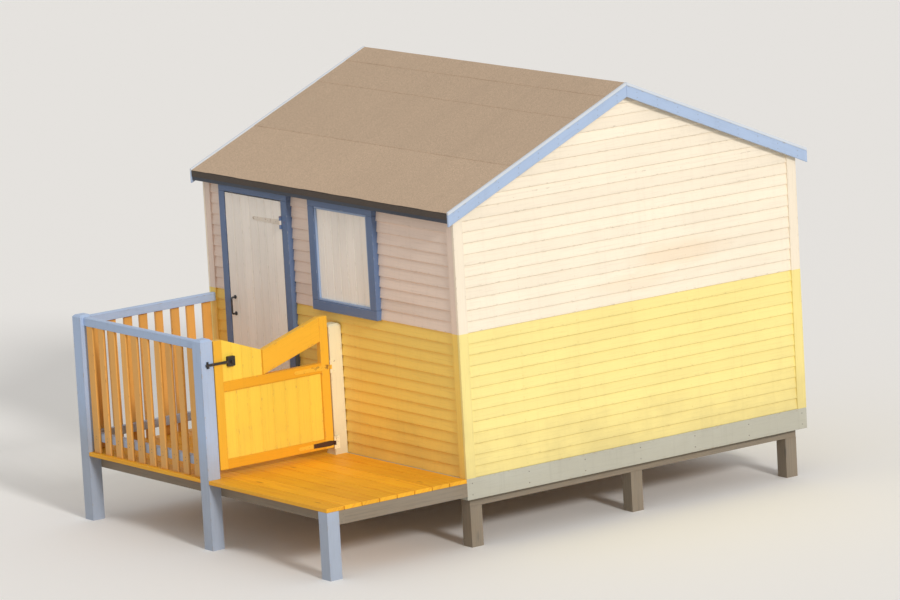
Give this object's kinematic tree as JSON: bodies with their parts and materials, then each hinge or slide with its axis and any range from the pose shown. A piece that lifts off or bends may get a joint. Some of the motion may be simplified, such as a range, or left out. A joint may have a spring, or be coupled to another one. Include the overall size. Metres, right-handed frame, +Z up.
{
  "type": "beach hut",
  "caption": "Two-tone timber beach hut on legs, with a boarded window, a side deck, a ledged door that opens and a braced gate across the deck.",
  "frame": {"origin": "centre of the bounding box at ground level, where the legs stand", "axes": "+X along the back wall to the right as seen from behind, +Y from the back wall towards the sea front, +Z up"},
  "size_m": [4.311, 3.104, 3.0619],
  "materials": {
    "cladding_paint": "satin paint, cream above a yellow band",
    "trim_paint": "satin paint, pale blue",
    "frame_paint": "satin paint, mid blue",
    "door_paint": "satin paint, cream",
    "gate_paint": "satin paint, golden yellow",
    "deck_stain": "orange stain",
    "picket_stain": "pale stain",
    "post_paint": "satin paint, cream",
    "bare_timber": "bare softwood",
    "weathered_timber": "weathered softwood",
    "skirting_paint": "worn pale paint",
    "roof_felt": "mineral felt",
    "dark_metal": "black paint",
    "bright_metal": "painted over in the gate's colour"
  },
  "bodies": {
    "hut": {"hut_legs": "weathered_timber", "bearers": "weathered_timber", "floor_joists": "bare_timber", "hut_floor": "bare_timber", "skirting_gables": "skirting_paint", "skirting_sides": "skirting_paint", "wall_back": "cladding_paint", "wall_front": "cladding_paint", "wall_right": "cladding_paint", "wall_left_rear": "cladding_paint", "wall_left_under_window": "cladding_paint", "wall_left_middle": "cladding_paint", "wall_left_front": "cladding_paint", "wall_plates": "cladding_paint", "window_frame": "frame_paint", "window_shutter": "door_paint", "door_frame": "frame_paint", "door_threshold": "weathered_timber", "ridge_board": "bare_timber", "rafters": "bare_timber", "roof_boards_left": "bare_timber", "roof_boards_right": "bare_timber", "felt_left": "roof_felt", "felt_right": "roof_felt", "fascias": "frame_paint", "bargeboards_back": "trim_paint", "bargeboards_front": "trim_paint", "deck_floor": "deck_stain", "deck_beams": "weathered_timber", "deck_joists": "weathered_timber", "deck_posts": "trim_paint", "gate_wall_post": "post_paint", "deck_rails": "trim_paint", "side_pickets": "picket_stain", "end_pickets": "picket_stain", "gate_keeper": "dark_metal", "hinge_plates": "dark_metal"},
    "door": {"door_boards": "door_paint", "door_ledges": "door_paint", "door_straps": "dark_metal", "door_pull": "dark_metal"},
    "gate": {"gate_stiles": "gate_paint", "gate_rails": "gate_paint", "gate_boards": "gate_paint", "gate_brace": "gate_paint", "gate_straps": "bright_metal", "gate_latch": "dark_metal"}
  },
  "joints": [
    {"name": "door_swing", "type": "hinge", "parent": "hut", "child": "door", "pos_m": [-1.0045, 0.4985, 1.4], "axis": [0, 0, 1], "range_deg": [0, 100]},
    {"name": "gate_swing", "type": "hinge", "parent": "hut", "child": "gate", "pos_m": [-1.0695, -0.109, 0.85], "axis": [0, 0, 1], "range_deg": [0, 90]}
  ]
}
